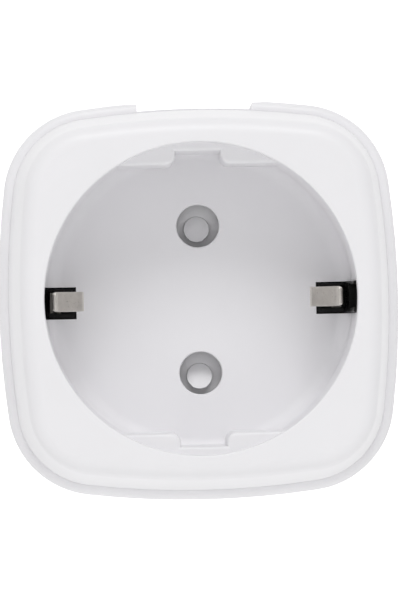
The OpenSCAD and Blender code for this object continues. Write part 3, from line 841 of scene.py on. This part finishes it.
def build_carrier(socket):
    """Plate with a tower and slot insert at each clip."""
    disc = rod("contact_carrier", 0, 0, 20.6, 22, 24, 0.25, 128)
    shift = socket.clip_shift
    right = clip_side(socket)
    left = copy_at(right, "left_side", (shift, 0, 0), "X")
    moved = copy_at(right, "right_side", (shift, 0, 0))
    drop(right)
    add_all(disc, left, moved, rod("post", 0, 0, 1.5, 19.8, 22.5, 0.2))
    for z in (-PIN_Z, PIN_Z):
        cut_all(disc, rod("pin_pass", 0, z, 3.4, 21, 25))
    for side in (-1, 1):
        wide = [shift / MM + side * x for x in (15.9, 19.1)]
        close = [shift / MM + side * x for x in (17.6, 18.95)]
        cut_all(disc, brick("leaf_pass", (wide[0], 16.5, -1.5), (wide[1], 22, 1.5)),
                brick("leaf_pass", (close[0], 21.5, -1.35), (close[1], 25, 1.35)))
    return finish_surface(disc)


def slanted_pad(x, z, r, front, back):
    """Round pad whose face leans back towards its upper edge."""
    pad = rod("pad", x, z, r, front, back)
    lean = math.radians(18)
    edit(pad)
    select_mesh()
    bpy.ops.mesh.bisect(plane_co=spot(x, front, z - r), clear_outer=True, use_fill=True,
                        plane_no=(0, -math.cos(lean), math.sin(lean)))
    leave_edit()
    return soften(pad, 0.12, 3)


def build_shutter():
    """Bar with a hub and one slanted pad behind each pin hole."""
    front, bar_front, back = 19.75, 20.9, 21.7
    half, reach = 3.2, 12.9
    end = math.sqrt(reach ** 2 - half ** 2)
    sweep = 2 * math.degrees(math.atan2(half, end))
    pen = Pen("shutter_bar", "XZ", spot(0, bar_front, 0), (half, -end))
    pen.line((half, end)).arc((0, 0), sweep, 16)
    pen.line((-half, -end)).arc((0, 0), sweep, 16)
    bar = soften(prism(pen.loop(), (0, (back - bar_front) * MM, 0)), 0.15, 3)
    add_all(bar, rod("hub", 0, 0, 4.4, front, back, 0.25, 64))
    for z in (-PIN_Z, PIN_Z):
        add_all(bar, slanted_pad(-0.15, z - 0.37, 1.68, front, back))
    cut_all(bar, rod("pivot", 0, 0, 1.56, 19, 22.5))
    return finish_surface(bar)


def bent_leaf(name, path, width, thick, folds, corner):
    """Sheet metal leaf that follows a path, with rounded folds and a rounded free end."""
    pen = Pen(name, "XY", (0, FACE_Y, -width / 2 * MM), path[0])
    for step in path[1:]:
        if len(step) == 2:
            pen.line(step)
        else:
            pen.arc(*step)
    end = pen.place(pen.at)
    select_mesh()
    bpy.ops.mesh.extrude_edges_move(TRANSFORM_OT_translate={"value": (0, 0, width * MM)})
    leaf = pen.piece

    def near(v, point):
        return math.hypot(v.co.x - point.x, v.co.y - point.y) < 1e-5

    leave_edit()
    for at, radius in folds:
        place_of = pen.place(at)
        bevel_edges(leaf, along(2, lambda a, b: near(a, place_of)), radius, 4)
    edit(leaf)
    select_where(leaf, "VERT", lambda v: near(v, end))
    bpy.ops.mesh.bevel(offset=corner * MM, segments=5, affect="VERTICES")
    select_mesh()
    bpy.ops.mesh.normals_make_consistent(inside=False)
    leave_edit()
    modify(leaf, "SOLIDIFY", thickness=thick * MM, offset=0, use_even_offset=True)
    return soften(leaf, 0.1, 2, 50)


def build_clip():
    """Right-hand earth clip before it is moved to its place."""
    path = [(18.3, 23.85), (18.2, 18), (17.8, 16.6), (14.962, 10.216), ((15.75, 9.6), 76, 8),
            (17.99, 5.5), (18.24, 4.7)]
    folds = [((17.8, 16.6), 0.8), ((18.2, 18), 0.5), ((17.99, 5.5), 0.12)]
    clip = bent_leaf("earth_clip", path, 2.5, 0.6, folds, 0.4)
    far, corner = 18.53, 0.6
    pen = Pen("corner", "XZ", spot(0, 4, 0), (far, 1.25 - corner))
    pen.arc((far - corner, 1.25 - corner), 90, 8)
    pen.line((far - corner, 1.5), (far + 0.2, 1.5), (far + 0.2, 1.25 - corner))
    upper = prism(pen.loop(), (0, 3.2 * MM, 0))
    lower = copy_at(upper, "corner_low", flip="Z")
    return cut_all(clip, upper, lower)


def build_pin(z):
    """Wall pin with a rounded tip, a collar and a flat for its link."""
    pen = Pen("wall_pin", "XY", (0, FACE_Y, z * MM), (0, 50.4))
    pen.line((2.25, 50.4), (2.4, 50.55), (2.4, 52.4), (3.2, 52.4), (3.3, 52.5), (3.3, 53.8),
             (3.2, 53.9), (2.4, 53.9), (2.4, 76.5)).arc((0.9, 76.5), 90, 8).line((0, 78))
    pin = pen.lathe(64)
    return finish_surface(cut_all(pin, brick("flat", (1.2, 49, z - 4), (3.5, 52, z + 4))))


def build_sleeve():
    """Earth sleeve with a lead-in at its mouth."""
    pen = Pen("earth_sleeve", "XY", (10 * MM, FACE_Y, 0), (0, 43.4))
    pen.line((3.25, 43.4), (3.4, 43.55), (3.4, 58.85), (3.25, 59), (2.85, 59), (2.5, 58.65),
             (2.5, 44.6), (2.3, 44.4), (0, 44.4))
    return finish_surface(pen.lathe(64))


def build_screws():
    """Four housing screws with turned threads, pan heads and cross recesses."""
    pen = Pen("housing_screw", "XY", (0, FACE_Y, 0), (0, 11)).line((0.4, 11.2), (0.7, 12))
    d, pitch = 12.0, 0.8
    while d + pitch < 28:
        pen.line((0.9, d + 0.3), (0.9, d + 0.4), (0.7, d + 0.7), (0.7, d + pitch))
        d += pitch
    pen.line((0.85, d + 0.4), (0.85, 40.35), (2, 40.35), (2.1, 40.45), (2.1, 41))
    pen.arc((1.5, 41), 90, 5).line((0, 41.6))
    screw = pen.lathe(28)
    for wide, tall in ((1.2, 0.25), (0.25, 1.2)):
        cut_all(screw, brick("cross", (-wide, 40.9, -tall), (wide, 42.5, tall)))
    return finish_surface(at_corners(screw, SCREW))


def rounded_copy(node, width):
    """Copy of an inner part with its edges rounded."""
    pick_only(frame["nodes"][node])
    bpy.ops.object.duplicate()
    part = bpy.context.object
    bpy.ops.object.parent_clear(type="CLEAR_KEEP_TRANSFORM")
    for key in list(part.keys()):
        del part[key]
    edit(rename(part, node + "_part"))
    select_mesh()
    bpy.ops.mesh.remove_doubles(threshold=1e-6)
    bpy.ops.mesh.dissolve_limited(angle_limit=math.radians(0.5))
    leave_edit()
    return finish_surface(soften(part, width, 2, 35))


def paint(piece, slot):
    """Gives a piece the finish of its slot."""
    piece.data.materials.clear()
    piece.data.materials.append(FINISHES[slot])


def put(piece, body, slot, node):
    """Paints a piece and puts it in place of its CAD node."""
    paint(piece, slot)
    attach(piece, body)
    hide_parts(node)


class SMARTPLUG_OT_front_shell(bpy.types.Operator):
    """Front shell with the socket recess, guide flats, pin holes and clip slots"""
    bl_idname = "smartplug.front_shell"
    bl_label = "Front shell"

    def execute(self, context):
        shell = build_front_shell(context.scene.plug_body, context.scene.plug_socket)
        put(shell, "case", "white_shell", "front_housing")
        return {"FINISHED"}


class SMARTPLUG_OT_rear_shell(bpy.types.Operator):
    """Rear shell with the finger channel, the button opening and the plug body"""
    bl_idname = "smartplug.rear_shell"
    bl_label = "Rear shell"

    def execute(self, context):
        put(build_rear_shell(context.scene.plug_body), "case", "white_shell", "rear_housing")
        return {"FINISHED"}


class SMARTPLUG_OT_button(bpy.types.Operator):
    """Button cap with its flange and stem"""
    bl_idname = "smartplug.button"
    bl_label = "Button"

    def execute(self, context):
        put(build_button(context.scene.plug_body), "push_button", "button_white", "button")
        return {"FINISHED"}


class SMARTPLUG_OT_light_guide(bpy.types.Operator):
    """Light guide beside the button"""
    bl_idname = "smartplug.light_guide"
    bl_label = "Light guide"

    def execute(self, context):
        put(build_light_guide(context.scene.plug_body), "case", "light_guide", "light_pipe")
        return {"FINISHED"}


class SMARTPLUG_OT_carrier(bpy.types.Operator):
    """Black carrier of the contacts, seen in the clip slots"""
    bl_idname = "smartplug.carrier"
    bl_label = "Contact carrier"

    def execute(self, context):
        carrier = build_carrier(context.scene.plug_socket)
        put(carrier, "case", "black_carrier", "contact_carrier")
        return {"FINISHED"}


class SMARTPLUG_OT_shutter(bpy.types.Operator):
    """Turning shutter with a pad behind each pin hole"""
    bl_idname = "smartplug.shutter"
    bl_label = "Shutter"

    def execute(self, context):
        put(build_shutter(), "shutter_bar", "shutter_white", "shutter")
        return {"FINISHED"}


class SMARTPLUG_OT_earth_clips(bpy.types.Operator):
    """Two springy earth clips"""
    bl_idname = "smartplug.earth_clips"
    bl_label = "Earth clips"

    def execute(self, context):
        shift = (context.scene.plug_socket.clip_shift, 0, 0)
        clip = build_clip()
        for side, flip in (("left", "X"), ("right", None)):
            twin = finish_surface(copy_at(clip, side + "_clip_leaf", shift, flip))
            put(twin, side + "_clip", "nickel_plate", "earth_clip_" + side)
        drop(clip)
        return {"FINISHED"}


class SMARTPLUG_OT_wall_pins(bpy.types.Operator):
    """Two wall pins"""
    bl_idname = "smartplug.wall_pins"
    bl_label = "Wall pins"

    def execute(self, context):
        for name, z in (("live", PIN_Z), ("neutral", -PIN_Z)):
            pin = rename(build_pin(z), name + "_wall_pin")
            put(pin, "case", "nickel_plate", name + "_pin")
        return {"FINISHED"}


class SMARTPLUG_OT_side_contacts(bpy.types.Operator):
    """Two earth contacts at the sides of the plug body"""
    bl_idname = "smartplug.side_contacts"
    bl_label = "Side contacts"

    def execute(self, context):
        path = [(13.9, 44.9), (16.15, 44.9), (16.15, 52), (16.65, 54.5), (16.15, 58)]
        folds = [((16.15, 44.9), 0.5), ((16.15, 52), 0.8), ((16.65, 54.5), 0.8)]
        leaf = bent_leaf("side_contact", path, 4.8, 0.6, folds, 0.9)
        for side, flip in (("left", "X"), ("right", None)):
            twin = finish_surface(copy_at(leaf, side + "_side_contact", (0, 0, 0), flip))
            put(twin, "case", "nickel_plate", "side_earth_" + side)
        drop(leaf)
        return {"FINISHED"}


class SMARTPLUG_OT_earth_sleeve(bpy.types.Operator):
    """Sleeve that takes the wall socket's earth pin"""
    bl_idname = "smartplug.earth_sleeve"
    bl_label = "Earth sleeve"

    def execute(self, context):
        put(build_sleeve(), "case", "nickel_plate", "earth_sleeve")
        return {"FINISHED"}


class SMARTPLUG_OT_screws(bpy.types.Operator):
    """Four screws that hold the shells together"""
    bl_idname = "smartplug.screws"
    bl_label = "Housing screws"

    def execute(self, context):
        put(build_screws(), "case", "screw_steel", "housing_screws")
        return {"FINISHED"}


class SMARTPLUG_OT_inner_parts(bpy.types.Operator):
    """Boards, relay, contacts and power parts inside the shells"""
    bl_idname = "smartplug.inner_parts"
    bl_label = "Inner parts"

    def execute(self, context):
        bodies = {n: b for b, ns in frame["record"]["behaviour"]["bodies"].items() for n in ns}
        for part in frame["record"]["subparts"]:
            node, slot = part["node"], part["material_slot"]
            paint(frame["nodes"][node], slot)
            if node not in KEPT_NODES and not frame["nodes"][node].hide_render:
                put(rounded_copy(node, 0.08), bodies[node], slot, node)
        return {"FINISHED"}


# ---------------------------------------------------------------- stage

class SMARTPLUG_OT_finishes(bpy.types.Operator):
    """Node materials of every finish"""
    bl_idname = "smartplug.finishes"
    bl_label = "Finishes"

    def execute(self, context):
        make_finishes(context.scene.plug_finish)
        return {"FINISHED"}


def softbox(name, far, elevation, size, watts):
    """Rectangular soft light in front of the socket face, aimed at it."""
    lift = math.radians(elevation)
    target = Vector((0, FACE_Y, 0))
    unselect()
    bpy.ops.object.light_add(type="AREA", location=target + far * Vector(
        (0, -math.cos(lift), math.sin(lift))))
    lamp = bpy.context.object
    lamp.name = name
    lamp.data.shape = "RECTANGLE"
    lamp.data.size, lamp.data.size_y = size
    lamp.data.energy = watts
    lamp.rotation_euler = (target - lamp.location).to_track_quat("-Z", "Y").to_euler()
    return lamp


def backdrop(name, location, tilt, glow):
    """A sheet of pale paper, with a glow that lights it to plain white."""
    unselect()
    bpy.ops.mesh.primitive_plane_add(size=3, location=location, rotation=(tilt, 0, 0))
    sheet = bpy.context.object
    sheet.name = name
    bpy.ops.object.transform_apply(location=True, rotation=True, scale=True)
    pale = Finish("pale " + name, (0.93, 0.93, 0.93), 0.8)
    pale.tint(pale.noise(200, 2), 0.005)
    pale.shader.inputs["Emission Color"].default_value = (1, 1, 1, 1)
    pale.shader.inputs["Emission Strength"].default_value = glow
    sheet.data.materials.append(pale.material)
    return sheet


def white_surround(strength, behind):
    """Even white light from everywhere, stronger from behind the plug."""
    world = bpy.data.worlds.new("white surround")
    world.use_nodes = True
    nodes, links = world.node_tree.nodes, world.node_tree.links
    split = nodes.new("ShaderNodeSeparateXYZ")
    ramp = nodes.new("ShaderNodeMapRange")
    for socket, value in (("To Min", strength), ("To Max", behind)):
        ramp.inputs[socket].default_value = value
    links.new(nodes.new("ShaderNodeTexCoord").outputs["Generated"], split.inputs[0])
    links.new(split.outputs["Y"], ramp.inputs["Value"])
    links.new(ramp.outputs[0], nodes["Background"].inputs["Strength"])
    nodes["Background"].inputs["Color"].default_value = (1, 1, 1, 1)
    return world


class SMARTPLUG_OT_stage(bpy.types.Operator):
    """Pale floor and backdrop, soft lights and the camera"""
    bl_idname = "smartplug.stage"
    bl_label = "Stage"

    def execute(self, context):
        scene = context.scene
        stage = scene.plug_stage
        scene.view_settings.view_transform = "Standard"
        scene.view_settings.look = "None"
        scene.world = white_surround(stage.surround, stage.surround_behind)

        softbox("overhead_softbox", 0.9, 47, (0.55, 0.28), stage.key_power)
        softbox("front_softbox", 1.3, 5, (0.9, 0.9), stage.front_power)
        sweep = backdrop("backdrop", (0, 1.6, 0), math.pi / 2, stage.paper_glow)
        sweep.visible_diffuse = sweep.visible_glossy = False
        floor = backdrop("floor", (0, 0.1, -0.4), 0.0, stage.floor_glow)

        unselect()
        bpy.ops.object.camera_add()
        camera = bpy.context.object
        camera.data.sensor_width = 36.0
        camera.data.lens = 332.5
        camera.data.clip_start = 0.01
        aim_at = Vector((-0.09 * MM, FACE_Y, -0.25 * MM))
        swing = Matrix.Rotation(stage.azimuth, 4, "Z") @ Matrix.Rotation(-stage.elevation, 4, "X")
        back = swing @ Vector((0, -stage.camera_distance, 0))
        pose = swing @ Matrix.Rotation(math.pi / 2, 4, "X") @ Matrix.Rotation(stage.roll, 4, "Z")
        camera.matrix_world = Matrix.Translation(aim_at + back) @ pose
        scene.camera = camera
        return {"FINISHED"}


class SMARTPLUG_PT_panel(bpy.types.Panel):
    """Settings and steps of the smart plug"""
    bl_label = "Smart plug"
    bl_idname = "SMARTPLUG_PT_panel"
    bl_space_type = "VIEW_3D"
    bl_region_type = "UI"
    bl_category = "Smart plug"

    def draw(self, context):
        layout = self.layout
        for group in ("plug_body", "plug_socket", "plug_finish", "plug_stage"):
            settings = getattr(context.scene, group)
            for key in settings.__annotations__:
                layout.prop(settings, key)
        for step in STEPS:
            layout.operator(step.bl_idname)


STEPS = [
    SMARTPLUG_OT_stage,
    SMARTPLUG_OT_finishes,
    SMARTPLUG_OT_front_shell,
    SMARTPLUG_OT_rear_shell,
    SMARTPLUG_OT_button,
    SMARTPLUG_OT_light_guide,
    SMARTPLUG_OT_carrier,
    SMARTPLUG_OT_shutter,
    SMARTPLUG_OT_earth_clips,
    SMARTPLUG_OT_wall_pins,
    SMARTPLUG_OT_side_contacts,
    SMARTPLUG_OT_earth_sleeve,
    SMARTPLUG_OT_screws,
    SMARTPLUG_OT_inner_parts,
]
GROUPS = {
    "plug_body": PlugBodySizes,
    "plug_socket": PlugSocketSizes,
    "plug_finish": PlugFinish,
    "plug_stage": PlugStage,
}


def register():
    """Registers the settings, the steps and the panel."""
    for group in GROUPS.values():
        bpy.utils.register_class(group)
    for key, group in GROUPS.items():
        setattr(bpy.types.Scene, key, bpy.props.PointerProperty(type=group))
    for step in STEPS:
        bpy.utils.register_class(step)
    bpy.utils.register_class(SMARTPLUG_PT_panel)


def unregister():
    """Takes out what register() put in."""
    bpy.utils.unregister_class(SMARTPLUG_PT_panel)
    for step in reversed(STEPS):
        bpy.utils.unregister_class(step)
    for key in GROUPS:
        delattr(bpy.types.Scene, key)
    for group in reversed(list(GROUPS.values())):
        bpy.utils.unregister_class(group)


def main():
    """Runs every step."""
    register()
    for step in STEPS:
        family, name = step.bl_idname.split(".")
        getattr(getattr(bpy.ops, family), name)()


if __name__ == "__main__":
    main()
